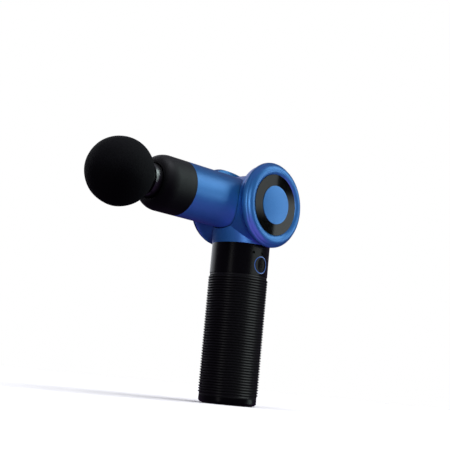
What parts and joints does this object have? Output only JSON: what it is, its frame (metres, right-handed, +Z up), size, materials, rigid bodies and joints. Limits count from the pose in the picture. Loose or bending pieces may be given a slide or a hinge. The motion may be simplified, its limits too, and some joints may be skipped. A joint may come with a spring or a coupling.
{
  "type": "handheld percussion massager",
  "caption": "Cordless handheld massager: a ribbed handle carries a swivelling arm whose motor drives a plunger with a pull-off round foam head.",
  "frame": {"origin": "centre of the handle's flat base, at the mouth of the charging inlet", "axes": "+Z up along the handle's axis, -X along the arm towards the foam head at rest, Y along the arm's pivot line, with the power button facing -Y"},
  "size_m": [0.203, 0.0712, 0.2012],
  "materials": {
    "blue_shell": "satin pearl metallic paint on moulded plastic",
    "black_soft": "matte soft touch",
    "black_satin": "satin black plastic",
    "core_plastic": "moulded structural plastic",
    "gloss_black": "polished black",
    "foam_black": "dense closed-cell foam with a fine grain",
    "satin_metal": "bead-blasted",
    "steel": "plated steel",
    "cell": "cells in a thin sleeve",
    "copper": "wound copper in lacquer",
    "nylon": "natural nylon",
    "board": "green laminate",
    "lens": "blue translucent light pipe"
  },
  "bodies": {
    "handle": {"handle_core": "core_plastic", "grip_sleeve": "black_soft", "control_collar": "black_satin", "grip_joint_ring": "black_satin", "base_cap": "black_satin", "foot_pad": "black_soft", "base_screws": "steel", "charge_jack": "board", "charge_pin": "steel", "battery_cells": "cell", "battery_holders": "core_plastic", "protection_board": "board", "board_carrier": "core_plastic", "control_board": "board", "tact_switch": "board", "button_ring_light": "lens", "level_leds": "lens", "yoke_near_shell": "blue_shell", "yoke_far_shell": "blue_shell", "yoke_screws": "steel", "yoke_screw_plugs": "blue_shell", "spigot_screws": "steel", "bezel_near": "blue_shell", "bezel_far": "blue_shell", "gloss_ring_near": "gloss_black", "gloss_ring_far": "gloss_black", "disc_carriers": "core_plastic", "centre_cap_near": "blue_shell", "centre_cap_far": "blue_shell", "friction_rings": "nylon"},
    "arm": {"arm_near_shell": "blue_shell", "arm_far_shell": "blue_shell", "arm_screws": "steel", "arm_screw_plugs": "blue_shell", "pivot_retainers": "steel", "retainer_pins": "steel", "nose_cover": "black_soft", "nose_wiper": "black_soft", "guide_tube": "satin_metal", "guide_bushes": "nylon", "motor_can": "steel", "motor_plate": "satin_metal", "motor_screws": "steel", "stator": "copper", "motor_bearings": "steel"},
    "rotor": {"rotor_core": "steel", "motor_shaft": "steel", "eccentric_crank": "steel"},
    "plunger": {"plunger": "satin_metal", "wrist_pin": "steel"},
    "rod": {"connecting_rod": "satin_metal", "rod_bearing": "steel"},
    "head": {"head_stem": "black_satin", "stem_seal": "black_soft", "foam_ball": "foam_black"},
    "button": {"power_button": "black_satin"}
  },
  "joints": [
    {"name": "arm_pivot", "type": "hinge", "parent": "handle", "child": "arm", "pos_m": [0, 0, 0.166], "axis": [0, 1, 0], "range_deg": [0, 90]},
    {"name": "motor_spin", "type": "hinge", "parent": "arm", "child": "rotor", "pos_m": [0, 0, 0.166], "axis": [0, 1, 0], "continuous": true},
    {"name": "plunger_slide", "type": "slide", "parent": "arm", "child": "plunger", "axis": [-1, 0, 0], "range_m": [0, 0.01]},
    {"name": "rod_swing", "type": "hinge", "parent": "plunger", "child": "rod", "pos_m": [-0.035, 0, 0.166], "axis": [0, 1, 0], "range_deg": [-9, 9]},
    {"name": "head_pull", "type": "slide", "parent": "plunger", "child": "head", "axis": [-1, 0, 0], "range_m": [0, 0.03]},
    {"name": "button_press", "type": "slide", "parent": "handle", "child": "button", "axis": [0, 1, 0], "range_m": [0, 0.0008], "stiffness_N_per_m": 1500}
  ]
}
